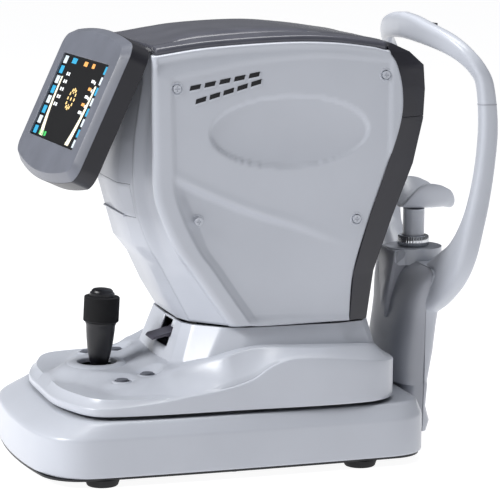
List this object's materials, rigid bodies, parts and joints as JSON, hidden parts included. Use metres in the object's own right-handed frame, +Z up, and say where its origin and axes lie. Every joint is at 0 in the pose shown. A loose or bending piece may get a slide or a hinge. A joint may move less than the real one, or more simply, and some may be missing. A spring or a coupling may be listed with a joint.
{
  "type": "autorefractor",
  "caption": "Table-top eye refractor: head with tilting screen on a joystick cross slide, on a base with chin rest and forehead arch.",
  "frame": {"origin": "on the table under the middle of the whole object", "axes": "+Z up, +X towards the patient, -X towards the operator"},
  "size_m": [0.492, 0.284, 0.461],
  "materials": {
    "white_plastic": "semi-gloss moulded",
    "dark_plastic": "satin moulded",
    "bezel_plastic": "fine texture",
    "steel": "brushed",
    "aluminium": "machined",
    "black_plastic": "satin",
    "rubber": "matte",
    "chrome": "polished",
    "glass": "coated",
    "circuit_board": "solder mask",
    "paper": "thermal paper",
    "lcd": "screen",
    "pad_vinyl": "soft vinyl"
  },
  "bodies": {
    "base": {"base_plate": "steel", "base_cover": "white_plastic", "rubber_feet": "rubber", "rack_rails": "steel", "power_supply": "steel", "power_inlet": "black_plastic", "base_screws": "steel", "tower_shell": "white_plastic", "tower_back_cover": "white_plastic", "headrest_frame": "white_plastic", "forehead_pad": "pad_vinyl", "chinrest_housing": "dark_plastic"},
    "power_rocker": {"power_switch": "black_plastic"},
    "chin_rest": {"chin_post": "white_plastic", "chin_cup": "white_plastic"},
    "chin_height_ring": {"chin_ring": "chrome"},
    "crossbar": {"crossbar": "aluminium"},
    "axle": {"cross_axle": "steel", "pinion_wheels": "steel"},
    "stage": {"stage_plate": "aluminium", "stage_cover": "white_plastic", "linear_bearings": "steel", "keypad_boards": "circuit_board", "lift_guide_rods": "chrome", "lift_motor": "black_plastic"},
    "lift_screw": {"lift_screw": "steel"},
    "lock_lever": {"lock_lever": "black_plastic"},
    "button_1": {"panel_button_1": "black_plastic"},
    "button_2": {"panel_button_2": "black_plastic"},
    "button_3": {"panel_button_3": "black_plastic"},
    "button_4": {"panel_button_4": "black_plastic"},
    "gimbal": {"gimbal_ring": "aluminium"},
    "joystick": {"joystick_shaft": "chrome", "joystick_dish": "chrome", "joystick_grip": "black_plastic"},
    "height_ring": {"joystick_ring": "rubber"},
    "measure_button": {"joystick_button": "black_plastic"},
    "head": {"side_cover_left": "white_plastic", "side_cover_right": "white_plastic", "top_cover": "dark_plastic", "rear_cover": "white_plastic", "front_frame_upper": "dark_plastic", "front_frame_lower": "dark_plastic", "side_cover_screws": "steel", "head_chassis": "aluminium", "lift_shroud": "dark_plastic", "lens_barrel": "aluminium", "objective_lens": "glass", "placido_ring": "black_plastic", "front_window": "glass", "camera_module": "black_plastic", "main_board": "circuit_board", "printer_unit": "black_plastic", "monitor_bracket": "steel", "monitor_hinge_pin": "steel"},
    "printer_door": {"printer_door": "white_plastic"},
    "paper_roll": {"paper_roll": "paper"},
    "monitor": {"monitor_bezel": "bezel_plastic", "lcd_panel": "lcd", "monitor_back": "dark_plastic"}
  },
  "joints": [
    {"name": "stage_x", "type": "slide", "parent": "base", "child": "crossbar", "axis": [1, 0, 0], "range_m": [-0.036, 0.003]},
    {"name": "axle_spin", "type": "hinge", "parent": "crossbar", "child": "axle", "pos_m": [0.015, 0, 0.035], "axis": [0, 1, 0], "range_deg": [-173, 16]},
    {"name": "stage_y", "type": "slide", "parent": "crossbar", "child": "stage", "axis": [0, 1, 0], "range_m": [-0.043, 0.043]},
    {"name": "lift_screw_spin", "type": "hinge", "parent": "stage", "child": "lift_screw", "pos_m": [0.02, 0.03, 0.1], "axis": [0, 0, 1], "range_deg": [-10, 1270]},
    {"name": "lock_lever_turn", "type": "hinge", "parent": "stage", "child": "lock_lever", "pos_m": [-0.068, -0.019, 0.131], "axis": [0, 1, 0], "range_deg": [0, 20]},
    {"name": "gimbal_tilt", "type": "hinge", "parent": "stage", "child": "gimbal", "pos_m": [-0.149, 0, 0.0805], "axis": [0, 1, 0], "range_deg": [-10, 8]},
    {"name": "stick_tilt", "type": "hinge", "parent": "gimbal", "child": "joystick", "pos_m": [-0.149, 0, 0.0805], "axis": [0.9986, 0, -0.0523], "range_deg": [-10, 10]},
    {"name": "height_ring_turn", "type": "hinge", "parent": "joystick", "child": "height_ring", "pos_m": [-0.149, 0, 0.0805], "axis": [0.0523, 0, 0.9986], "range_deg": [-10, 640]},
    {"name": "measure_press", "type": "slide", "parent": "joystick", "child": "measure_button", "axis": [-0.0523, 0, -0.9986], "range_m": [0, 0.002], "stiffness_N_per_m": 400, "springref_m": -0.001},
    {"name": "head_lift", "type": "slide", "parent": "stage", "child": "head", "axis": [0, 0, 1], "range_m": [0, 0.035]},
    {"name": "printer_door_turn", "type": "hinge", "parent": "head", "child": "printer_door", "pos_m": [-0.1311, 0, 0.2597], "axis": [0, -1, 0], "range_deg": [0, 35]},
    {"name": "paper_roll_turn", "type": "hinge", "parent": "head", "child": "paper_roll", "pos_m": [-0.086, 0, 0.262], "axis": [0, 1, 0], "continuous": true},
    {"name": "monitor_tilt", "type": "hinge", "parent": "head", "child": "monitor", "pos_m": [-0.14008, 0.00209, 0.37204], "axis": [0.0523, -0.9986, 0], "range_deg": [-2, 15]},
    {"name": "chin_lift", "type": "slide", "parent": "base", "child": "chin_rest", "axis": [0, 0, 1], "range_m": [-0.025, 0.035]},
    {"name": "chin_ring_turn", "type": "hinge", "parent": "base", "child": "chin_height_ring", "pos_m": [0.2045, 0, 0.213], "axis": [0, 0, 1], "range_deg": [-455, 635]},
    {"name": "power_rocker_tip", "type": "hinge", "parent": "base", "child": "power_rocker", "pos_m": [-0.065, 0.137, 0.032], "axis": [1, 0, 0], "range_deg": [-7, 7]},
    {"name": "button_1_press", "type": "slide", "parent": "stage", "child": "button_1", "axis": [0, 0, -1], "range_m": [0, 0.0015], "stiffness_N_per_m": 300, "springref_m": -0.001},
    {"name": "button_2_press", "type": "slide", "parent": "stage", "child": "button_2", "axis": [0, 0, -1], "range_m": [0, 0.0015], "stiffness_N_per_m": 300, "springref_m": -0.001},
    {"name": "button_3_press", "type": "slide", "parent": "stage", "child": "button_3", "axis": [0, 0, -1], "range_m": [0, 0.0015], "stiffness_N_per_m": 300, "springref_m": -0.001},
    {"name": "button_4_press", "type": "slide", "parent": "stage", "child": "button_4", "axis": [0, 0, -1], "range_m": [0, 0.0015], "stiffness_N_per_m": 300, "springref_m": -0.001}
  ],
  "couplings": [
    {"joint": "axle_spin", "follows": "stage_x", "rad_per_m": 83.333},
    {"joint": "lift_screw_spin", "follows": "head_lift", "rad_per_m": 628.32},
    {"joint": "height_ring_turn", "follows": "head_lift", "rad_per_m": 314.16},
    {"joint": "chin_ring_turn", "follows": "chin_lift", "rad_per_m": 314.16}
  ]
}
